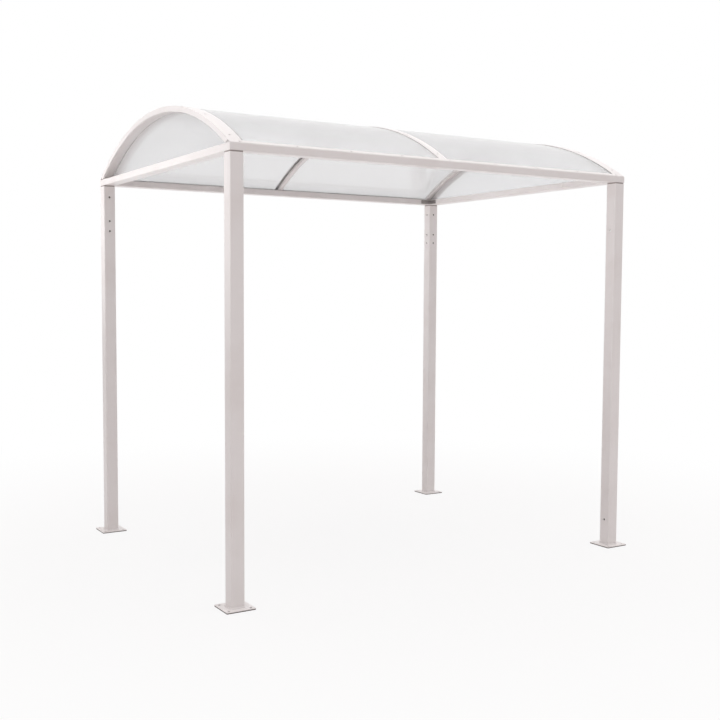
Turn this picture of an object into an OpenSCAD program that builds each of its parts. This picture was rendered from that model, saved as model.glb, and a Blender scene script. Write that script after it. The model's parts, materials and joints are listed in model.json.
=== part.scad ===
// Bike shelter with a barrel-vault roof in two bays, on four square posts.
// Millimetres. X runs along the eaves, Y from the front to the back, Z up.
// The origin lies on the ground, in the middle between the four posts.

/* [Overall] */
// Distance between the post centres along the eaves
span_x = 2600; // [2000:10:3200]
// Distance between the post centres from front to back
span_y = 1980; // [1600:10:2400]
// Height of the post tops above the ground
post_top = 2280; // [2000:10:2600]
// Rise of the roof sheet's outer face above the roof frame
vault_rise = 302; // [220:2:400]
// Offset of the middle rib from the middle of the roof, negative to the left
mid_off = -40; // [-100:5:100]

/* [Posts] */
// Side of the square post tube
post_w = 75; // [66:1:90]
// Wall of the post tube
post_wall = 4; // [3:0.5:6]
// Outer corner radius of the post tube
post_r = 6; // [4:0.5:10]
// Bore of the accessory holes in the inward post faces
hole_d = 13; // [6:0.5:14]
// Depth of the top hole of the rear posts below the post top
hole_high = 70; // [70:5:120]
// Depth of the upper hole of the pair in the rear posts below the post top
hole_mid = 225; // [180:5:250]
// Depth of the lower hole of the pair, and of the front posts' upper hole
hole_low = 290; // [270:5:340]
// Height of the front posts' lower hole above the ground
hole_foot = 165; // [120:5:300]

/* [Base plates] */
// Side of the square base plate
plate_w = 160; // [140:1:220]
// Thickness of the base plate
plate_t = 8; // [6:1:15]
// Corner radius of the base plate
plate_r = 5; // [2:1:12]
// Bore of the four anchor holes
anchor_d = 14; // [10:1:16]
// Distance of the anchor hole centres from the plate's edges
anchor_edge = 20; // [15:1:22]

/* [Post heads] */
// Height of the joint between post top and roof frame
head_t = 6; // [4:1:16]
// Recess of the joint behind the post faces
head_recess = 1.5; // [1:0.5:2.5]
// Depth of the spigot inside the post tube
spigot_h = 50; // [30:5:60]
// Wall of the spigot
spigot_wall = 5; // [3:0.5:8]
// Clearance between spigot and post tube, on each side
spigot_fit = 0.5; // [0.3:0.1:1]
// Bore of the two bolt holes of each post head
bolt_d = 11; // [8:0.5:13]
// Offset of the two bolts from the post's centre, one into each frame tube
bolt_off = 16; // [14:1:20]

/* [Roof frame] */
// Width of the frame tubes, laid flat
frame_w = 75; // [66:1:90]
// Height of the frame tubes
frame_h = 40; // [36:1:60]
// Wall of the frame tubes
frame_wall = 3; // [2:0.5:5]
// Outer corner radius of the frame tubes
frame_r = 5; // [3:0.5:8]

/* [Corner brackets] */
// Length of each leg along the frame tubes
bracket_leg = 80; // [60:1:120]
// Height of the brackets
bracket_h = 28; // [20:1:30]
// Thickness of the brackets
bracket_t = 4; // [3:0.5:6]
// Inner bend radius of the brackets
bracket_bend = 5; // [2:0.5:10]
// Distance of the bolts from the frame's inner corner
bracket_bolt = 50; // [30:1:65]
// Bore of the bolt holes in bracket and frame tube
bracket_bolt_d = 9; // [6:0.5:12]

/* [Ribs] */
// Width of the bent end ribs
rib_w = 55; // [44:1:60]
// Width of the bent middle rib
mid_rib_w = 30; // [24:1:40]
// Width of the bent tubes that hold the gable panels from inside
clamp_w = 30; // [20:1:40]
// Depth of all bent tubes
rib_h = 20; // [16:1:30]
// Wall of all bent tubes
rib_wall = 2; // [1.5:0.5:4]
// Clearance between the end ribs and the turned-down edges of their cover strips
rib_gap = 2; // [1:0.5:8]

/* [Roof sheets] */
// Thickness of the bent roof sheets
sheet_t = 4; // [3:0.5:8]
// Setback of the sheets' feet behind the outer frame face, at the outer face
eaves_inset = 8; // [7:1:20]
// Gap for expansion between the sheets' ends and the turned-down edges of the cover strips
end_gap = 7; // [3:1:18]
// Gap for expansion between the two sheets over the middle rib
sheet_gap = 6; // [4:1:10]
// Thickness of the rubber strips between ribs and sheets
gasket_t = 3; // [2:0.5:5]
// Setback of the rubber strips behind the sides of their bed
gasket_inset = 3; // [1:0.5:6]
// Clearance between the bent layers of the roof
bed_gap = 0.2; // [0.1:0.1:0.5]

/* [Cover strips] */
// Thickness of the cover strips
cover_t = 3; // [2:0.5:4]
// Width of the cover strip over each end rib
end_cover_w = 76; // [70:1:95]
// Depth of the turned-down outer edge of the end cover strips
flange_h = 26; // [10:1:40]
// Width of the cover strip over the middle rib
mid_cover_w = 54; // [44:1:80]
// Width of the eaves strips, measured along the roof
eaves_strip_w = 20; // [14:1:60]
// Gap between the ends of neighbouring strips
strip_gap = 1; // [0.5:0.5:3]

/* [Gable panels] */
// Thickness of the gable panels
gable_t = 4; // [3:0.5:6]
// Lap of the gable panels over the rib's side face
gable_lap = 12; // [8:1:14]

/* [Hidden] */

// Segments of small rounds and bores, and of the large roof arcs
$fn = 48;
arc_fn = 360;
// Overshoot of every cutting solid
cut = 1;

// Outer faces of the roof frame, flush with the outer faces of the posts
half_x = (span_x + post_w) / 2;
half_y = (span_y + post_w) / 2;
frame_bottom = post_top + head_t;
frame_top = frame_bottom + frame_h;

// Radius of the sheet's outer face, from its chord and its rise
chord = half_y - eaves_inset;
sheet_out = (chord * chord + vault_rise * vault_rise) / (2 * vault_rise);
vault_z = frame_top + vault_rise - sheet_out;
sheet_in = sheet_out - sheet_t;
gasket_out = sheet_in - bed_gap;
gasket_in = gasket_out - gasket_t;
rib_out = gasket_in - bed_gap;
rib_in = rib_out - rib_h;
cover_in = sheet_out + bed_gap;
cover_out = cover_in + cover_t;

// Angle from the crest to the eaves, and to the upper edge of the eaves strips
eaves_angle = acos((sheet_out - vault_rise) / sheet_out);
strip_angle = eaves_angle - eaves_strip_w / cover_out * 180 / PI;
cover_angle = strip_angle - strip_gap / cover_out * 180 / PI;

// Left end, from the outside in: where sheet, rib, gable panel and clamp begin
sheet_x = -half_x + cover_t + end_gap;
rib_x = -half_x + cover_t + rib_gap;
gable_x = rib_x + rib_w;
clamp_x = gable_x + gable_t;

// Left side of the middle rib, and width of the bed of rib, panel and clamp at each end
mid_x = mid_off - mid_rib_w / 2;
end_bed = rib_w + gable_t + clamp_w;

// Start along X of a piece of the width w: x0 on the left (side -1), mirrored on the right (side 1)
function start(side, x0, w) = side > 0 ? -x0 - w : x0;

paint = "#ece8e6";
primer = "#8d8583";
zinc = "#8f8f8d";
rubber = "#b9b4b3";
opal = "#e4e7ea";

// A rectangle with round corners, centred on the origin
module rounded_rect(w, d, r) {
    square([w - 2 * r, d], center = true);
    square([w, d - 2 * r], center = true);
    for (sx = [-1, 1], sy = [-1, 1])
        translate([sx * (w / 2 - r), sy * (d / 2 - r)])
            circle(r);
}

// Section of a rectangular tube with round corners
module tube_section(w, d, r, wall) {
    difference() {
        rounded_rect(w, d, r);
        rounded_rect(w - 2 * wall, d - 2 * wall, max(r - wall, 1));
    }
}

// A square in the first quadrant, rounded at the origin
module rounded_corner(w, r) {
    translate([r, 0])
        square([w - r, w]);
    translate([0, r])
        square([w, w - r]);
    translate([r, r])
        circle(r);
}

// Moves its children to a post's axis: sx is -1 left and 1 right, sy is -1 front and 1 back
module at_post(sx, sy) {
    translate([sx * span_x / 2, sy * span_y / 2, 0])
        children();
}

// Turns its children into an inner corner of the roof frame, at half the tubes' height
module at_inner_corner(sx, sy) {
    turn = sx < 0 ? (sy < 0 ? 0 : 270) : (sy < 0 ? 90 : 180);
    translate([sx * (half_x - frame_w), sy * (half_y - frame_w), frame_bottom + frame_h / 2])
        rotate([0, 0, turn])
            children();
}

// Carries a drawing of the roof's cross-section along X, from x0 over the length w
module along_eaves(x0, w) {
    translate([x0, 0, vault_z])
        rotate([90, 0, 90])
            linear_extrude(height = w)
                children();
}

// Ring of the vault between two radii, drawn about the vault's axis
module vault_ring(r_in, r_out) {
    difference() {
        circle(r_out, $fn = arc_fn);
        circle(r_in, $fn = arc_fn);
    }
}

// Everything above the height z of the vault's own axes, out to the radius r
module above(z, r) {
    translate([-r - cut, z])
        square([2 * (r + cut), r - z + cut]);
}

// Wedge of the half angle a to both sides of the crest
module crest_wedge(a, r) {
    far = 2 * r;
    polygon([[0, 0], [far * sin(a), far * cos(a)], [0, far], [-far * sin(a), far * cos(a)]]);
}

// Bent layer of the roof that ends flat on the top of the roof frame
module bent_layer(r_in, r_out) {
    intersection() {
        vault_ring(r_in, r_out);
        above(frame_top - vault_z, r_out);
    }
}

// Square plate on the ground with four anchor holes
module base_plate(sx, sy) {
    anchor = plate_w / 2 - anchor_edge;
    at_post(sx, sy)
        color(paint)
            difference() {
                linear_extrude(height = plate_t)
                    rounded_rect(plate_w, plate_w, plate_r);
                for (ax = [-1, 1], ay = [-1, 1])
                    translate([ax * anchor, ay * anchor, -cut])
                        cylinder(d = anchor_d, h = plate_t + 2 * cut);
            }
}

// One accessory hole through the post's inward X face and one through its inward Y face
module inward_holes(sx, sy, z) {
    reach = post_wall + 2 * cut;
    translate([-sx * (post_w / 2 - post_wall / 2), 0, z])
        rotate([0, 90, 0])
            cylinder(d = hole_d, h = reach, center = true);
    translate([0, -sy * (post_w / 2 - post_wall / 2), z])
        rotate([90, 0, 0])
            cylinder(d = hole_d, h = reach, center = true);
}

// Square tube from the base plate to the post head, drilled on its inward faces
module post(sx, sy) {
    heights = sy > 0
        ? [post_top - hole_high, post_top - hole_mid, post_top - hole_low]
        : [post_top - hole_low, hole_foot];
    at_post(sx, sy)
        color(paint)
            difference() {
                translate([0, 0, plate_t])
                    linear_extrude(height = post_top - plate_t)
                        tube_section(post_w, post_w, post_r, post_wall);
                for (z = heights)
                    inward_holes(sx, sy, z);
            }
}

// Recessed plate on the post's rim, with a spigot inside the tube and two bolt holes
module post_head(sx, sy) {
    head_w = post_w - 2 * head_recess;
    spigot_w = post_w - 2 * (post_wall + spigot_fit);
    at_post(sx, sy)
        translate([0, 0, post_top])
            color(primer)
                difference() {
                    union() {
                        linear_extrude(height = head_t)
                            rounded_rect(head_w, head_w, post_r);
                        translate([0, 0, -spigot_h])
                            linear_extrude(height = spigot_h + head_t / 2)
                                tube_section(spigot_w, spigot_w, post_r, spigot_wall);
                    }
                    for (s = [-1, 1])
                        translate([s * sx * bolt_off, -s * sy * bolt_off, -cut])
                            cylinder(d = bolt_d, h = head_t + 2 * cut);
                }
}

// Frame tube over the length len along X, its outer face towards -Y, with mitred ends
module frame_tube(len) {
    intersection() {
        translate([-len / 2, frame_w / 2, frame_h / 2])
            rotate([90, 0, 90])
                linear_extrude(height = len)
                    tube_section(frame_w, frame_h, frame_r, frame_wall);
        translate([0, 0, -cut])
            linear_extrude(height = frame_h + 2 * cut)
                polygon([
                    [-len / 2, 0],
                    [len / 2, 0],
                    [len / 2 - frame_w, frame_w],
                    [-len / 2 + frame_w, frame_w],
                ]);
    }
}

// Two bolts of one corner bracket, each through a leg and the tube wall behind it
module bracket_bolts() {
    depth = bracket_t + frame_wall;
    middle = (bracket_t - frame_wall) / 2;
    translate([bracket_bolt, middle, 0])
        rotate([90, 0, 0])
            cylinder(d = bracket_bolt_d, h = depth + 2 * cut, center = true);
    translate([middle, bracket_bolt, 0])
        rotate([0, 90, 0])
            cylinder(d = bracket_bolt_d, h = depth + 2 * cut, center = true);
}

// Bolt holes of the roof frame: over the post heads, and in its inner corners
module frame_bolts() {
    for (sx = [-1, 1], sy = [-1, 1]) {
        for (s = [-1, 1])
            at_post(sx, sy)
                translate([s * sx * bolt_off, -s * sy * bolt_off, frame_bottom - cut])
                    cylinder(d = bolt_d, h = frame_wall + 2 * cut);
        at_inner_corner(sx, sy)
            bracket_bolts();
    }
}

// Eaves beam at the front (side -1) or at the back (side 1)
module eaves_beam(side) {
    color(paint)
        difference() {
            rotate([0, 0, side > 0 ? 180 : 0])
                translate([0, -half_y, frame_bottom])
                    frame_tube(2 * half_x);
            frame_bolts();
        }
}

// Tie across the end of the roof at the left (side -1) or at the right (side 1)
module end_tie(side) {
    color(paint)
        difference() {
            rotate([0, 0, side > 0 ? 90 : -90])
                translate([0, -half_x, frame_bottom])
                    frame_tube(2 * half_y);
            frame_bolts();
        }
}

// Bent angle in an inner corner of the roof frame, bolted to both tubes, bare zinc at the rear right
module corner_bracket(sx, sy) {
    at_inner_corner(sx, sy)
        color(sx > 0 && sy > 0 ? zinc : paint)
            difference() {
                translate([0, 0, -bracket_h / 2])
                    linear_extrude(height = bracket_h)
                        difference() {
                            rounded_corner(bracket_leg, bracket_bend + bracket_t);
                            translate([bracket_t, bracket_t])
                                rounded_corner(bracket_leg, bracket_bend);
                        }
                bracket_bolts();
            }
}

// Bent rectangular tube of the width w that stands on both eaves beams: a rib or a gable clamp
module bent_tube(x0, w) {
    color(paint)
        difference() {
            along_eaves(x0, w)
                bent_layer(rib_in, rib_out);
            along_eaves(x0 + rib_wall, w - 2 * rib_wall)
                vault_ring(rib_in + rib_wall, rib_out - rib_wall);
        }
}

// Flat panel that fills a gable, held between the end rib and its clamp
module gable_panel(side) {
    color(opal)
        along_eaves(start(side, gable_x, gable_t), gable_t)
            intersection() {
                circle(rib_in + gable_lap, $fn = arc_fn);
                above(frame_top - vault_z, rib_in + gable_lap);
            }
}

// Rubber strip on a bed of the width w
module gasket(x0, w) {
    color(rubber)
        along_eaves(x0 + gasket_inset, w - 2 * gasket_inset)
            bent_layer(gasket_in, gasket_out);
}

// Bent sheet of one bay, from x0 to x1
module roof_sheet(x0, x1) {
    color(opal)
        along_eaves(x0, x1 - x0)
            bent_layer(sheet_in, sheet_out);
}

// Section of a cover strip between the two eaves strips, from the radius r_in outwards
module cover_section(r_in) {
    intersection() {
        bent_layer(r_in, cover_out);
        crest_wedge(cover_angle, cover_out);
    }
}

// Bent flat bar over the joint of the two sheets
module middle_cover() {
    color(paint)
        along_eaves(mid_off - mid_cover_w / 2, mid_cover_w)
            cover_section(cover_in);
}

// Bent flat bar over an end rib, turned down along its outer edge
module end_cover(side) {
    color(paint) {
        along_eaves(start(side, -half_x, end_cover_w), end_cover_w)
            cover_section(cover_in);
        along_eaves(start(side, -half_x, cover_t), cover_t)
            cover_section(cover_in - flange_h);
    }
}

// Strip that clamps the sheets' feet along the eaves beam: side is -1 front and 1 back
module eaves_strip(side) {
    color(paint)
        along_eaves(-half_x, 2 * half_x)
            intersection() {
                difference() {
                    bent_layer(cover_in, cover_out);
                    crest_wedge(strip_angle, cover_out);
                }
                translate([side > 0 ? 0 : -2 * cover_out, 0])
                    square(2 * cover_out);
            }
}

base_plate(-1, -1);  // base_plate_front_left
base_plate(1, -1);  // base_plate_front_right
base_plate(-1, 1);  // base_plate_rear_left
base_plate(1, 1);  // base_plate_rear_right
post(-1, -1);  // post_front_left
post(1, -1);  // post_front_right
post(-1, 1);  // post_rear_left
post(1, 1);  // post_rear_right
post_head(-1, -1);  // post_head_front_left
post_head(1, -1);  // post_head_front_right
post_head(-1, 1);  // post_head_rear_left
post_head(1, 1);  // post_head_rear_right
eaves_beam(-1);  // front_beam
eaves_beam(1);  // rear_beam
end_tie(-1);  // left_tie
end_tie(1);  // right_tie
corner_bracket(-1, -1);  // corner_bracket_front_left
corner_bracket(1, -1);  // corner_bracket_front_right
corner_bracket(-1, 1);  // corner_bracket_rear_left
corner_bracket(1, 1);  // corner_bracket_rear_right
bent_tube(start(-1, rib_x, rib_w), rib_w);  // left_rib
bent_tube(mid_x, mid_rib_w);  // middle_rib
bent_tube(start(1, rib_x, rib_w), rib_w);  // right_rib
bent_tube(start(-1, clamp_x, clamp_w), clamp_w);  // left_gable_clamp
bent_tube(start(1, clamp_x, clamp_w), clamp_w);  // right_gable_clamp
gable_panel(-1);  // left_gable_panel
gable_panel(1);  // right_gable_panel
gasket(start(-1, rib_x, end_bed), end_bed);  // left_gasket
gasket(mid_x, mid_rib_w);  // middle_gasket
gasket(start(1, rib_x, end_bed), end_bed);  // right_gasket
roof_sheet(sheet_x, mid_off - sheet_gap / 2);  // left_roof_sheet
roof_sheet(mid_off + sheet_gap / 2, -sheet_x);  // right_roof_sheet
end_cover(-1);  // left_cover_strip
middle_cover();  // middle_cover_strip
end_cover(1);  // right_cover_strip
eaves_strip(-1);  // front_eaves_strip
eaves_strip(1);  // rear_eaves_strip
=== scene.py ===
import json
import math

import bpy
import numpy as np
from mathutils import Matrix, Vector


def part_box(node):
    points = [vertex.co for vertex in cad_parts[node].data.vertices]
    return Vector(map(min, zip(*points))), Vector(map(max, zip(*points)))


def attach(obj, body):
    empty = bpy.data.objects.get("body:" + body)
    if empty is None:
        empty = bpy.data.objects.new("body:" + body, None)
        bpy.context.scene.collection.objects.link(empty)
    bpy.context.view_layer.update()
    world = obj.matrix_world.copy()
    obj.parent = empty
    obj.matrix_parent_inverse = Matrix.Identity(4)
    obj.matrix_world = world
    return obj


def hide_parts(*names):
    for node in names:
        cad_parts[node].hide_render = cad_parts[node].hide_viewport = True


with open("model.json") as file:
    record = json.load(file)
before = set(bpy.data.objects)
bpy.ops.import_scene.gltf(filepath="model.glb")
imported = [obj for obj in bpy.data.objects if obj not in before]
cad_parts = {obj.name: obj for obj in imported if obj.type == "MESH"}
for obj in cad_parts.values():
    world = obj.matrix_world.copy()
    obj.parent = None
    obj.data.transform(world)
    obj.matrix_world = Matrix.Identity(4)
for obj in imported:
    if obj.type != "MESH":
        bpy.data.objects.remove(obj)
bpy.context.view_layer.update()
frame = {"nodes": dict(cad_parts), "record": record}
nodes = frame["nodes"]
scene = bpy.context.scene
scene.view_settings.view_transform = "Standard"
mm = 0.001
print("frame loaded:", len(nodes), "nodes")

# each corner's name, and which way it lies along X and Y
corners = {"front_left": (-1, -1), "front_right": (1, -1), "rear_left": (-1, 1), "rear_right": (1, 1)}
sides = ("left", "middle", "right")
ends = ("left", "right")


# sRGB hex to the linear colour that a socket takes
def hexColour(text):
    srgb = np.array([int(text[i:i + 2], 16) for i in (1, 3, 5)]) / 255
    linear = np.where(srgb <= 0.04045, srgb / 12.92, ((srgb + 0.055) / 1.055) ** 2.4)
    return (*linear.tolist(), 1.0)


# adds one node: settings go to its sockets or its properties, links to its sockets
def addNode(tree, kind, settings=None, links=None):
    node = tree.nodes.new(kind)
    for key, value in (settings or {}).items():
        if isinstance(key, int) or key in node.inputs:
            node.inputs[key].default_value = value
        else:
            setattr(node, key, value)
    for key, socket in (links or {}).items():
        tree.links.new(socket, node.inputs[key])
    return node


# empty material with its output node and the object's own coordinates
def newMaterial(name):
    material = bpy.data.materials.new(name)
    material.use_nodes = True
    tree = material.node_tree
    tree.nodes.clear()
    output = addNode(tree, "ShaderNodeOutputMaterial")
    place = addNode(tree, "ShaderNodeTexCoord").outputs["Object"]
    return material, tree, output, place


# powder-coated steel: baked polyester paint, even off-white, half gloss with a fine orange peel, with a
# painted shade along the foot of the base plates
powderCoat = {
    "clean": "#f4f1f0",
    "dusty": "#e6dfdc",
    # colour of the painted shade where the plates meet the ground
    "contactShade": "#58504d",
    "ior": 1.5,
    "roughness": 0.28,
    "dustRoughness": 0.2,        # added where the dust is full
    "peelSize": 4.0,             # mm, really about 1.5, drawn coarser so that it shows
    "peelDepth": 0.05,           # mm
    "peelStrength": 0.5,
    "cloudSize": 320.0,          # mm, faint uneven dust
    "cloudRange": (0.45, 0.75),  # noise at which the dust starts and is full
    "cloudShare": 0.45,          # most dust that a cloud brings
    "splashHeight": 0.22,        # m, dust thrown up round the feet
    "splashShare": 0.15,         # dust at ground level
    "contactShadeLine": 6.0,            # mm, painted shade line where the plates meet the ground
    "contactShadeFull": 0.6,            # share of that painted shade line's height that is fully dark
}


def makePowderCoat(look, name, bore=None):
    material, tree, output, place = newMaterial(name)
    cloud = addNode(tree, "ShaderNodeTexNoise",
                    {"Scale": 1000 / look["cloudSize"], "Detail": 5.0, "Roughness": 0.6}, {"Vector": place})
    height = addNode(tree, "ShaderNodeSeparateXYZ", links={"Vector": place}).outputs["Z"]
    splash = addNode(tree, "ShaderNodeMapRange",
                     {"From Min": 0.0, "From Max": look["splashHeight"],
                      "To Min": look["splashShare"], "To Max": 0.0},
                     {"Value": height})
    cloudStart, cloudFull = look["cloudRange"]
    clouds = addNode(tree, "ShaderNodeMapRange",
                     {"From Min": cloudStart, "From Max": cloudFull,
                      "To Min": 0.0, "To Max": look["cloudShare"]},
                     {"Value": cloud.outputs["Fac"]})
    dust = addNode(tree, "ShaderNodeMath", {"operation": "ADD", "use_clamp": True},
                   {0: splash.outputs["Result"], 1: clouds.outputs["Result"]})
    colour = addNode(tree, "ShaderNodeMix",
                     {"data_type": "RGBA", 6: hexColour(look["clean"]), 7: hexColour(look["dusty"])},
                     {0: dust.outputs[0]})
    # painted shade: below this height the paint turns to the dark shade colour, where the plates meet the
    # ground
    contactShadeTop = look["contactShadeLine"] * mm
    low = addNode(tree, "ShaderNodeMapRange",
                  {"From Min": contactShadeTop, "From Max": look["contactShadeFull"] * contactShadeTop}, {"Value": height})
    colour = addNode(tree, "ShaderNodeMix", {"data_type": "RGBA", 7: hexColour(look["contactShade"])},
                     {0: low.outputs["Result"], 6: colour.outputs[2]})
    if bore:  # the posts are unpainted inside: nearer to a post's centre line than its wall is
        mirrored = addNode(tree, "ShaderNodeVectorMath", {"operation": "ABSOLUTE"}, {0: place})
        offset = addNode(tree, "ShaderNodeVectorMath", {"operation": "SUBTRACT", 1: bore["centre"]},
                         {0: mirrored.outputs[0]})
        offset = addNode(tree, "ShaderNodeVectorMath", {"operation": "ABSOLUTE"}, {0: offset.outputs[0]})
        offset = addNode(tree, "ShaderNodeSeparateXYZ", links={"Vector": offset.outputs[0]})
        farthest = addNode(tree, "ShaderNodeMath", {"operation": "MAXIMUM"},
                           {0: offset.outputs["X"], 1: offset.outputs["Y"]})
        inside = addNode(tree, "ShaderNodeMath", {"operation": "LESS_THAN", 1: bore["half"]},
                         {0: farthest.outputs[0]})
        colour = addNode(tree, "ShaderNodeMix", {"data_type": "RGBA", 7: hexColour(bore["bare"])},
                         {0: inside.outputs[0], 6: colour.outputs[2]})
    gloss = addNode(tree, "ShaderNodeMapRange",
                    {"To Min": look["roughness"], "To Max": look["roughness"] + look["dustRoughness"]},
                    {"Value": dust.outputs[0]})
    peel = addNode(tree, "ShaderNodeTexNoise",
                   {"Scale": 1000 / look["peelSize"], "Detail": 1.0}, {"Vector": place})
    bump = addNode(tree, "ShaderNodeBump",
                   {"Strength": look["peelStrength"], "Distance": look["peelDepth"] * mm},
                   {"Height": peel.outputs["Fac"]})
    skin = addNode(tree, "ShaderNodeBsdfPrincipled", {"IOR": look["ior"]},
                   {"Base Color": colour.outputs[2], "Roughness": gloss.outputs["Result"],
                    "Normal": bump.outputs["Normal"]})
    tree.links.new(skin.outputs[0], output.inputs["Surface"])
    return material


# opal polycarbonate: extruded sheet with a milky pigment, lets light through but blurs what lies behind
opalSheet = {
    "milk": "#fcfdfe",
    "ior": 1.585,
    "through": 0.76,
    "roughness": 0.12,
    "waveSize": 180.0,    # mm along the eaves, faint draw marks of the extruder
    "waveStretch": 0.15,  # the marks run on across the roof
    "waveDepth": 0.15,    # mm
    "waveStrength": 0.4,
}


def makeOpalSheet(look):
    material, tree, output, place = newMaterial("opalPolycarbonate")
    stretch = addNode(tree, "ShaderNodeMapping",
                      {"Scale": (1.0, look["waveStretch"], look["waveStretch"])}, {"Vector": place})
    wave = addNode(tree, "ShaderNodeTexNoise",
                   {"Scale": 1000 / look["waveSize"], "Detail": 2.0}, {"Vector": stretch.outputs[0]})
    bump = addNode(tree, "ShaderNodeBump",
                   {"Strength": look["waveStrength"], "Distance": look["waveDepth"] * mm},
                   {"Height": wave.outputs["Fac"]})
    skin = addNode(tree, "ShaderNodeBsdfPrincipled",
                   {"Base Color": hexColour(look["milk"]), "IOR": look["ior"], "Roughness": look["roughness"],
                    "Transmission Weight": look["through"]},
                   {"Normal": bump.outputs["Normal"]})
    tree.links.new(skin.outputs[0], output.inputs["Surface"])
    return material


# EPDM rubber: extruded strip in pale grey, matte with a dusty bloom; sizes in mm
rubberStrip = {"fresh": "#b4aeae", "bloom": "#c9c4c3", "bloomSize": 40.0, "ior": 1.5, "roughness": 0.8}


def makeRubber(look):
    material, tree, output, place = newMaterial("epdmRubber")
    bloom = addNode(tree, "ShaderNodeTexNoise",
                    {"Scale": 1000 / look["bloomSize"], "Detail": 4.0}, {"Vector": place})
    colour = addNode(tree, "ShaderNodeMix",
                     {"data_type": "RGBA", 6: hexColour(look["fresh"]), 7: hexColour(look["bloom"])},
                     {0: bloom.outputs["Fac"]})
    skin = addNode(tree, "ShaderNodeBsdfPrincipled", {"IOR": look["ior"], "Roughness": look["roughness"]},
                   {"Base Color": colour.outputs[2]})
    tree.links.new(skin.outputs[0], output.inputs["Surface"])
    return material


# primed steel with painted shade: thin brown-grey primer on the post heads, its colour darkened to paint the
# shade in the recessed joint under the frame, dull with lighter scuffs; sizes in mm
headPrimerAndShade = {"primer": "#9a918e", "scuff": "#b3aba8", "scuffSize": 15.0, "scuffRange": (0.55, 0.75),
               "ior": 1.5, "roughness": 0.65}


def makeHeadPrimerAndShade(look):
    material, tree, output, place = newMaterial("headPrimerAndShade")
    scuff = addNode(tree, "ShaderNodeTexNoise",
                    {"Scale": 1000 / look["scuffSize"], "Detail": 6.0, "Roughness": 0.7}, {"Vector": place})
    scuffStart, scuffFull = look["scuffRange"]
    mask = addNode(tree, "ShaderNodeMapRange", {"From Min": scuffStart, "From Max": scuffFull},
                   {"Value": scuff.outputs["Fac"]})
    colour = addNode(tree, "ShaderNodeMix",
                     {"data_type": "RGBA", 6: hexColour(look["primer"]), 7: hexColour(look["scuff"])},
                     {0: mask.outputs["Result"]})
    skin = addNode(tree, "ShaderNodeBsdfPrincipled", {"IOR": look["ior"], "Roughness": look["roughness"]},
                   {"Base Color": colour.outputs[2]})
    tree.links.new(skin.outputs[0], output.inputs["Surface"])
    return material


# galvanised steel: weathered zinc, dull grey with a faint spangle of crystals; sizes in mm
zincSteel = {"zinc": "#a39d9b", "crystal": "#bcb6b4", "crystalSize": 12.0,
             "roughness": 0.48, "crystalRoughness": 0.2}


def makeZinc(look):
    material, tree, output, place = newMaterial("galvanisedSteel")
    crystals = addNode(tree, "ShaderNodeTexVoronoi", {"Scale": 1000 / look["crystalSize"]}, {"Vector": place})
    colour = addNode(tree, "ShaderNodeMix",
                     {"data_type": "RGBA", 6: hexColour(look["zinc"]), 7: hexColour(look["crystal"])},
                     {0: crystals.outputs["Color"]})
    gloss = addNode(tree, "ShaderNodeMapRange",
                    {"To Min": look["roughness"], "To Max": look["roughness"] + look["crystalRoughness"]},
                    {"Value": crystals.outputs["Distance"]})
    skin = addNode(tree, "ShaderNodeBsdfPrincipled", {"Metallic": 1.0},
                   {"Base Color": colour.outputs[2], "Roughness": gloss.outputs["Result"]})
    tree.links.new(skin.outputs[0], output.inputs["Surface"])
    return material


# the paint reaches 3.4 mm into a hole, a little less than the post's 4 mm wall
paintReach = 3.4 * mm
postLow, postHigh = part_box("post_rear_right")
postMiddle = (postLow + postHigh) / 2
postBore = {"bare": "#9a9290", "centre": (postMiddle.x, postMiddle.y, 0.0),
            "half": (postHigh.x - postLow.x) / 2 - paintReach}
paint = makePowderCoat(powderCoat, "powderCoatedSteel")
postPaint = makePowderCoat(powderCoat, "powderCoatedPost", postBore)
opal = makeOpalSheet(opalSheet)
rubber = makeRubber(rubberStrip)
# post-head primer, darkened as painted shade for the joint under the frame
primer = makeHeadPrimerAndShade(headPrimerAndShade)
zinc = makeZinc(zincSteel)
finishes = {"paint": paint, "sheet": opal, "gasket": rubber, "post_head": primer, "bracket": zinc}
slots = {subpart["node"]: subpart["material_slot"] for subpart in frame["record"]["subparts"]}
for node, slotName in slots.items():
    nodes[node].data.materials.clear()
    nodes[node].data.materials.append(finishes[slotName])
for corner in corners:
    nodes["post_" + corner].data.materials[0] = postPaint
print("finishes set:", ", ".join(m.name for m in finishes.values()))


# puts a grid surface into a mesh: vertices, quads, end caps with their normals, and a normal for each vertex
# with no normals the faces are flat
def surfacePiece(name, points, quads, normals, caps, slotName, replaced=()):
    mesh = bpy.data.meshes.new(name)
    faces = quads.tolist() + [loop.tolist() for loop, _ in caps]
    mesh.from_pydata(points.reshape(-1, 3).tolist(), [], faces)
    if normals is not None:
        mesh.polygons.foreach_set("use_smooth", np.ones(len(faces), bool))
        loopVertex = np.zeros(len(mesh.loops), int)
        mesh.loops.foreach_get("vertex_index", loopVertex)
        loopNormal = normals.reshape(-1, 3)[loopVertex]
        start = quads.size
        for loop, normal in caps:
            loopNormal[start:start + len(loop)] = normal
            start += len(loop)
        mesh.normals_split_custom_set(loopNormal.tolist())
    mesh.materials.append(finishes[slotName])
    piece = bpy.data.objects.new(name, mesh)
    scene.collection.objects.link(piece)
    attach(piece, "root")
    if replaced:
        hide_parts(*replaced)


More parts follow.
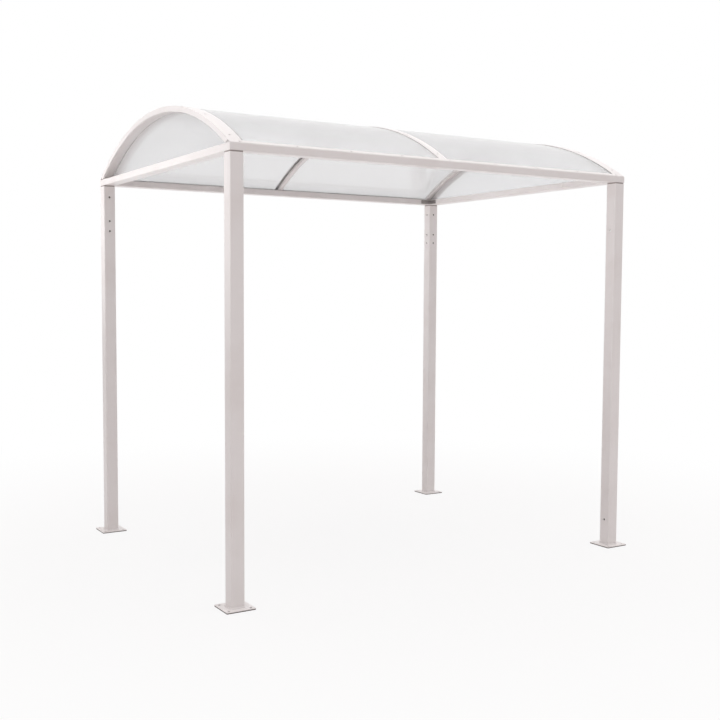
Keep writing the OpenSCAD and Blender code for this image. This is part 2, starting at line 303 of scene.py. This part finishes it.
# outline with square corners, counter-clockwise, each rounded by a quarter circle
# the normal swings from the side before to the side after; an inward corner has its circle outside
def roundedOutline(outline, radius, steps=4):
    outline = np.array(outline, float)
    side = np.roll(outline, -1, 0) - outline
    side /= np.linalg.norm(side, axis=1, keepdims=True)
    after = np.stack([side[:, 1], -side[:, 0]], -1)
    before = np.roll(after, 1, 0)
    turn = np.sign(before[:, 0] * after[:, 1] - before[:, 1] * after[:, 0])[:, None]
    swing = np.linspace(0, math.pi / 2, steps + 1)[None, :, None]
    normal = np.cos(swing) * before[:, None] + np.sin(swing) * after[:, None]
    centre = outline - turn * radius * (before + after)
    points = centre[:, None] + turn[:, None] * radius * normal
    return points.reshape(-1, 2), normal.reshape(-1, 2)


# corners of an upright rectangle, counter-clockwise from its lower left
def rectangle(left, low, right, high):
    return [(left, low), (right, low), (right, high), (left, high)]


# quads between neighbouring profile points (closed) and neighbouring stations
def gridQuads(around, along, closedPath=False):
    i, j = np.meshgrid(np.arange(around), np.arange(along if closedPath else along - 1), indexing="ij")
    following, ahead = (i + 1) % around, (j + 1) % along
    index = lambda a, b: (b * around + a).ravel()
    return np.stack([index(i, j), index(i, ahead), index(following, ahead), index(following, j)], -1)


# the first ring of a grid, and the last one backwards: the loops of its two end caps
def endLoops(around, along):
    first = np.arange(around)
    return first, around * along - 1 - first


# the vault: radii of its layers are read off the crests, its axis from the sheet's chord and rise
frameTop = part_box("front_beam")[1].z
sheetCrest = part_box("left_roof_sheet")[1]
rise = sheetCrest.z - frameTop
sheetOut = (sheetCrest.y ** 2 + rise ** 2) / (2 * rise)
axisZ = sheetCrest.z - sheetOut
vault = {
    "ribOut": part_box("middle_rib")[1].z - axisZ,
    "gasketOut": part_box("middle_gasket")[1].z - axisZ,
    "sheetOut": sheetOut,
    "coverOut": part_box("middle_cover_strip")[1].z - axisZ,
    "stations": 121,
}


# bent bar: a rounded outline in width and radius, swung about the vault's axis
# the swing of each profile point ends where it meets the frame's top, or at the limit if that comes first
def bentBar(name, node, outline, corner, slotName, limit=math.pi / 2):
    profile, slope = roundedOutline(outline, corner)
    share = np.linspace(-1, 1, vault["stations"])[:, None]
    radius = profile[None, :, 1]
    swing = share * np.minimum(np.arccos((frameTop - axisZ) / radius), limit)
    points = np.stack([np.broadcast_to(profile[None, :, 0], swing.shape),
                       radius * np.sin(swing), axisZ + radius * np.cos(swing)], -1)
    normals = np.stack([np.broadcast_to(slope[None, :, 0], swing.shape),
                        slope[None, :, 1] * np.sin(swing), slope[None, :, 1] * np.cos(swing)], -1)
    around, along = len(profile), vault["stations"]
    first, last = endLoops(around, along)
    caps = [(first, (0, -math.cos(limit), -math.sin(limit))),
            (last, (0, math.cos(limit), -math.sin(limit)))]
    surfacePiece(name, points, gridQuads(around, along), normals, caps, slotName, (node,))


roofLayers = {
    "rib": {"depth": 20 * mm, "corner": 3 * mm},
    "gasket": {"depth": 3 * mm, "corner": 0.8 * mm},
    "sheet": {"depth": 4 * mm, "corner": 0.6 * mm},
    "cover": {"depth": 3 * mm, "corner": 1.0 * mm, "flange": 26 * mm},
}
# piece, node, layer, outer radius, slot, and the places that have one
bentPieces = [
    ("Rib", "_rib", "rib", "ribOut", "paint", sides),
    ("GableClamp", "_gable_clamp", "rib", "ribOut", "paint", ends),
    ("Gasket", "_gasket", "gasket", "gasketOut", "gasket", sides),
    ("RoofSheet", "_roof_sheet", "sheet", "sheetOut", "sheet", ends),
]
for kind, nodeEnd, layerName, top, slotName, places in bentPieces:
    layer = roofLayers[layerName]
    for side in places:
        low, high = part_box(side + nodeEnd)
        outline = rectangle(low.x, vault[top] - layer["depth"], high.x, vault[top])
        bentBar(side + kind, side + nodeEnd, outline, layer["corner"], slotName)

# cover strips end square to the roof; the outer ones are turned down along their outer edge
cover = roofLayers["cover"]
coverOut = vault["coverOut"]
coverIn = coverOut - cover["depth"]
lip = coverIn - cover["flange"]
for side in sides:
    node = side + "_cover_strip"
    low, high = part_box(node)
    outline = rectangle(low.x, coverIn, high.x, coverOut)
    if side == "left":
        turned = low.x + cover["depth"]
        outline[0:1] = [(low.x, lip), (turned, lip), (turned, coverIn)]
    if side == "right":
        turned = high.x - cover["depth"]
        outline[1:2] = [(turned, coverIn), (turned, lip), (high.x, lip)]
    bentBar(side + "CoverStrip", node, outline, cover["corner"], "paint", math.asin(high.y / coverOut))
print("roof layers bent: radius", round(sheetOut, 3), "m, rise", round(rise, 3), "m")


# values of a closed outline's points, read at given lengths of run by straight lines between them
def alongLoop(at, run, values):
    closed = np.vstack([values, values[:1]])
    return np.stack([np.interp(at, run, closed[:, k]) for k in (0, 1)], -1)


# weld bead: a fillet between a straight and a quarter-round one, carried round the post's foot
# its leg grows and shrinks as a sine of the length along the seam, which gives the ripples
weldBead = {
    "leg": 6 * mm,
    "bulge": 0.25,         # 0 is a straight fillet, 1 a quarter-round one
    "ripple": 4 * mm,      # from crest to crest
    "depth": 0.35 * mm,
    "postCorner": 6 * mm,  # radius of the tube's edges
    "cornerSteps": 8,
    "stations": 320,
    "arcSteps": 7,
    "softening": 0.01,     # keeps a normal at the root, where the section's own is zero
}


def weldRound(name, corner):
    low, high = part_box("post_" + corner)
    square = rectangle(low.x, low.y, high.x, high.y)
    outline, outward = roundedOutline(square, weldBead["postCorner"], weldBead["cornerSteps"])
    step = np.linalg.norm(np.roll(outline, -1, 0) - outline, axis=1)
    run = np.concatenate([[0], np.cumsum(step)])
    at = np.linspace(0, run[-1], weldBead["stations"], endpoint=False)
    base, away = alongLoop(at, run, outline), alongLoop(at, run, outward)
    away /= np.linalg.norm(away, axis=1, keepdims=True)
    angle = np.linspace(0, math.pi / 2, weldBead["arcSteps"])
    quarterRound = np.stack([np.sin(angle), np.cos(angle)], -1)
    straight = np.stack([angle, math.pi / 2 - angle], -1) / (math.pi / 2)
    bow = weldBead["bulge"] * quarterRound + (1 - weldBead["bulge"]) * straight
    section = np.vstack([[[0, 0]], bow[::-1]])
    swell = weldBead["leg"] + weldBead["depth"] * np.sin(2 * math.pi * at / weldBead["ripple"])
    out = swell[:, None] * section[None, :, 0]
    up = swell[:, None] * section[None, :, 1]
    level = base[:, None] + away[:, None] * out[..., None]
    points = np.concatenate([level, (low.z + up)[..., None]], -1)
    lean = section[None] + weldBead["softening"]
    rising = np.broadcast_to(lean[..., 1:], (len(at), len(section), 1))
    normals = np.concatenate([away[:, None] * lean[..., :1], rising], -1)
    normals /= np.linalg.norm(normals, axis=-1, keepdims=True)
    surfacePiece(name, points, gridQuads(len(section), len(at), True), normals, [], "paint")


for corner in corners:
    weldRound("weld_" + corner, corner)
print("weld beads laid round", len(corners), "posts")


# hex bolt on a washer: rings about the bolt's axis, round for the washer and six-sided for the head,
# where the radius is half the width over flats divided by the cosine of the angle to the nearest flat
hexBolt = {
    "overFlats": 13 * mm,
    "head": 5.3 * mm,
    "chamfer": 0.7 * mm,
    "washer": 8.5 * mm,        # radius
    "washerHeight": 1.6 * mm,
    "around": 48,
    "legShare": 50 / 80,       # place along a bracket's leg, from its corner
    "bracketThick": 4 * mm,
}


def boltHead(name, foot, axis, slotName):
    angle = np.linspace(0, 2 * math.pi, hexBolt["around"], endpoint=False)
    flats = hexBolt["overFlats"] / 2 / np.cos((angle + math.pi / 6) % (math.pi / 3) - math.pi / 6)
    disc = np.full_like(angle, hexBolt["washer"])
    low, high = hexBolt["washerHeight"], hexBolt["washerHeight"] + hexBolt["head"]
    radius = np.stack([disc, disc, flats, flats, flats - hexBolt["chamfer"]])
    height = np.array([0, low, low, high - hexBolt["chamfer"], high])[:, None]
    axis = np.array(axis, float)
    right = np.array([axis[1], -axis[0], 0])
    points = (np.array(foot) + height[..., None] * axis
              + radius[..., None] * (np.cos(angle)[:, None] * right + np.sin(angle)[:, None] * [0, 0, 1]))
    around, along = len(angle), len(radius)
    first, last = endLoops(around, along)
    caps = [(first, -axis), (last, axis)]
    surfacePiece(name, points, gridQuads(around, along), None, caps, slotName)


for corner, (signX, signY) in corners.items():
    node = "corner_bracket_" + corner
    low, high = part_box(node)
    middle = (low + high) / 2
    reach = (high.x - low.x) * hexBolt["legShare"]
    thick = hexBolt["bracketThick"]
    outerX = high.x if signX > 0 else low.x
    outerY = high.y if signY > 0 else low.y
    alongX = (outerX - signX * thick, outerY - signY * reach, middle.z)
    alongY = (outerX - signX * reach, outerY - signY * thick, middle.z)
    boltHead("bolt_x_" + corner, alongX, (-signX, 0, 0), slots[node])
    boltHead("bolt_y_" + corner, alongY, (0, -signY, 0), slots[node])
print("brackets bolted")


# row of cap screws: rings about each screw's axis, a sealing washer and on it half an ellipse in section
capScrew = {
    "radius": 4.8 * mm,
    "height": 2.4 * mm,
    "washer": 7.0 * mm,        # radius
    "washerHeight": 1.0 * mm,
    "rimTaper": 0.96,          # share of the washer's radius at its top
    "rimHeight": 0.7,          # share of its height where the rim turns in
    "rimSlopes": (0.0, math.radians(30), math.radians(70)),  # of its normals, from foot to top
    "sunk": 0.3 * mm,
    "around": 24,
    "domeSteps": 5,
    "domeEnd": math.radians(75),
}


def screwRow(name, feet, axes, slotName):
    feet, axes = np.array(feet, float), np.array(axes, float)
    climb = np.linspace(0, capScrew["domeEnd"], capScrew["domeSteps"])
    rim, thick = capScrew["washer"], capScrew["washerHeight"]
    radius = np.append([rim, rim, capScrew["rimTaper"] * rim], capScrew["radius"] * np.cos(climb))
    height = np.append([-capScrew["sunk"], capScrew["rimHeight"] * thick, thick],
                       thick + capScrew["height"] * np.sin(climb))
    dome = np.arctan2(np.sin(climb) / capScrew["height"], np.cos(climb) / capScrew["radius"])
    slope = np.append(capScrew["rimSlopes"], dome)
    angle = np.linspace(0, 2 * math.pi, capScrew["around"], endpoint=False)[:, None]
    right = np.cross(axes, (0, 1, 0))
    right /= np.linalg.norm(right, axis=1, keepdims=True)
    away = np.cos(angle) * right[:, None] + np.sin(angle) * np.cross(right, axes)[:, None]
    points = (feet[:, None, None] + height[:, None, None] * axes[:, None, None]
              + radius[:, None, None] * away[:, None])
    normals = (np.sin(slope)[:, None, None] * axes[:, None, None]
               + np.cos(slope)[:, None, None] * away[:, None])
    around, along = capScrew["around"], len(radius)
    start = np.arange(len(feet)) * around * along
    quads = gridQuads(around, along) + start[:, None, None]
    first, last = endLoops(around, along)
    caps = [(begin + first, -axis) for begin, axis in zip(start, axes)]
    caps += [(begin + last, axis) for begin, axis in zip(start, axes)]
    surfacePiece(name, points, quads.reshape(-1, 4), normals, caps, slotName)


# the covers are screwed down along the ribs, the eaves strips along the beams
# each tie has one screw on its outer and one on its inner face, placed along Y in metres
screwRows = {"perCover": 7, "perEaves": 9, "endMargin": 60 * mm, "tieOuter": 0.0, "tieInner": -0.55}
margin = screwRows["endMargin"]
for side in sides:
    ribLow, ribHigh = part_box(side + "_rib")
    reach = math.asin(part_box(side + "_cover_strip")[1].y / coverOut) - margin / coverOut
    swing = np.linspace(-reach, reach, screwRows["perCover"])
    axes = np.stack([np.zeros_like(swing), np.sin(swing), np.cos(swing)], -1)
    feet = axes * coverOut + [(ribLow.x + ribHigh.x) / 2, 0, axisZ]
    screwRow("screws_" + side + "_cover", feet, axes, "paint")
for side in ("front", "rear"):
    low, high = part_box(side + "_eaves_strip")
    swing = math.asin((low.y + high.y) / 2 / coverOut)
    along = np.linspace(low.x + margin, high.x - margin, screwRows["perEaves"])
    axes = np.tile([0, math.sin(swing), math.cos(swing)], (len(along), 1))
    feet = axes * coverOut + [0, 0, axisZ]
    feet[:, 0] = along
    screwRow("screws_" + side + "_eaves", feet, axes, "paint")
for side, out in (("left", -1), ("right", 1)):
    low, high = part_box(side + "_tie")
    outerFace, innerFace = (high.x, low.x) if out > 0 else (low.x, high.x)
    feet = [(outerFace, screwRows["tieOuter"], (low.z + high.z) / 2),
            (innerFace, screwRows["tieInner"], (low.z + high.z) / 2)]
    screwRow("screws_" + side + "_tie", feet, [(out, 0, 0), (-out, 0, 0)], "paint")
print("covers, eaves strips and ties screwed")


# where the studio is seen straight, mirrored or through the sheet, and not where it only lights something
def seenDirectly(tree):
    path = addNode(tree, "ShaderNodeLightPath")
    through = addNode(tree, "ShaderNodeMath", {"operation": "MAXIMUM"},
                      {0: path.outputs["Is Glossy Ray"], 1: path.outputs["Is Transmission Ray"]})
    direct = addNode(tree, "ShaderNodeMath", {"operation": "MAXIMUM"},
                     {0: path.outputs["Is Camera Ray"], 1: through.outputs[0]})
    unscattered = addNode(tree, "ShaderNodeMath", {"operation": "LESS_THAN", 1: 0.5},
                          {0: path.outputs["Diffuse Depth"]})
    return addNode(tree, "ShaderNodeMath", {"operation": "MULTIPLY"},
                   {0: direct.outputs[0], 1: unscattered.outputs[0]}).outputs[0]


# white studio: the floor keeps the shadow and fades to the white of the backdrop; lengths in metres
floorLook = {
    "size": 60.0,
    "drop": 0.5 * mm,  # below the plates, so that the faces don't coincide
    "colour": "#e2dedd",
    "shade": 0.14,     # share of the floor's own shading near the object
    "fadeStart": 1.6,
    "fadeEnd": 5.0,
}


def makeFloor(look):
    mesh = bpy.data.meshes.new("floor")
    half = look["size"] / 2
    edge = [(x, y, 0) for x, y in rectangle(-half, -half, half, half)]
    mesh.from_pydata(edge, [], [(0, 1, 2, 3)])
    floor = bpy.data.objects.new("floor", mesh)
    scene.collection.objects.link(floor)
    floor.location.z = -look["drop"]
    material, tree, output, place = newMaterial("paleStudioFloor")
    matte = addNode(tree, "ShaderNodeBsdfDiffuse", {"Color": hexColour(look["colour"])})
    glow = addNode(tree, "ShaderNodeEmission", {"Color": (1, 1, 1, 1), "Strength": 1.0})
    away = addNode(tree, "ShaderNodeVectorMath", {"operation": "LENGTH"}, {0: place})
    fade = addNode(tree, "ShaderNodeMapRange",
                   {"interpolation_type": "SMOOTHSTEP", "From Min": look["fadeStart"],
                    "From Max": look["fadeEnd"], "To Min": 1 - look["shade"], "To Max": 1.0},
                   {"Value": away.outputs["Value"]})
    white = addNode(tree, "ShaderNodeMath", {"operation": "MULTIPLY"},
                    {0: seenDirectly(tree), 1: fade.outputs["Result"]})
    mixed = addNode(tree, "ShaderNodeMixShader",
                    links={0: white.outputs[0], 1: matte.outputs[0], 2: glow.outputs[0]})
    tree.links.new(mixed.outputs[0], output.inputs["Surface"])
    mesh.materials.append(material)


makeFloor(floorLook)

# overcast sky, about three times as bright overhead as at the horizon
# where it is seen straight, mirrored or through the sheet it is the white of the backdrop
skyLook = {"horizon": 0.32, "zenith": 0.9, "white": 1.0, "tint": "#fff9f9"}
world = bpy.data.worlds.new("studioSky")
scene.world = world
world.use_nodes = True
sky = world.node_tree
sky.nodes.clear()
way = addNode(sky, "ShaderNodeTexCoord").outputs["Generated"]  # in a world this is the ray's direction
up = addNode(sky, "ShaderNodeSeparateXYZ", links={"Vector": way}).outputs["Z"]
level = addNode(sky, "ShaderNodeMapRange", {"To Min": skyLook["horizon"], "To Max": skyLook["zenith"]},
                {"Value": up})
ambient = addNode(sky, "ShaderNodeBackground", {"Color": hexColour(skyLook["tint"])},
                  {"Strength": level.outputs["Result"]})
backdrop = addNode(sky, "ShaderNodeBackground", {"Color": (1, 1, 1, 1), "Strength": skyLook["white"]})
mixed = addNode(sky, "ShaderNodeMixShader",
                links={0: seenDirectly(sky), 1: ambient.outputs[0], 2: backdrop.outputs[0]})
addNode(sky, "ShaderNodeOutputWorld", links={"Surface": mixed.outputs[0]})

# lamps: a wide soft box overhead, and a panel with a grid at the left whose light fades down the posts
lamps = {
    "softBox": {"place": (0.8, -0.2, 12.0), "aim": (0.8, -0.2, 0.0), "watts": 600.0,
                "width": 12.0, "length": 12.0, "spread": 180.0},
    "sidePanel": {"place": (-4.4, 0.5, 2.0), "aim": (0.0, 0.2, 2.3), "watts": 5.6,
                  "width": 3.0, "length": 0.4, "spread": 40.0},
}
for name, lampLook in lamps.items():
    lampData = bpy.data.lights.new(name, "AREA")
    lampData.energy = lampLook["watts"]
    lampData.shape = "RECTANGLE"
    lampData.spread = math.radians(lampLook["spread"])
    lampData.size, lampData.size_y = lampLook["width"], lampLook["length"]
    lamp = bpy.data.objects.new(name, lampData)
    scene.collection.objects.link(lamp)
    lamp.visible_camera = lamp.visible_glossy = False
    lamp.location = lampLook["place"]
    lamp.rotation_euler = (Vector(lampLook["aim"]) - lamp.location).to_track_quat("-Z", "Y").to_euler()
print("studio lit")

# camera at a standing eye's height in front of the left-hand corner, angles in radians
view = {"eye": (-3.4227, -5.6431, 1.5923), "yaw": 0.55072, "pitch": 0.06527, "roll": 0.00495,
        "focalPixels": 1021.4, "imageWidth": 720, "sensor": 36.0}
cameraData = bpy.data.cameras.new("camera")
cameraData.sensor_width = view["sensor"]
cameraData.lens = view["focalPixels"] / view["imageWidth"] * view["sensor"]
camera = bpy.data.objects.new("camera", cameraData)
scene.collection.objects.link(camera)
turn = Matrix.Rotation(-view["yaw"], 4, "Z")
tilt = Matrix.Rotation(math.pi / 2 - view["pitch"], 4, "X")
roll = Matrix.Rotation(view["roll"], 4, "Z")
camera.matrix_world = Matrix.Translation(view["eye"]) @ turn @ tilt @ roll
scene.camera = camera
print("camera set, lens", round(cameraData.lens, 1), "mm")
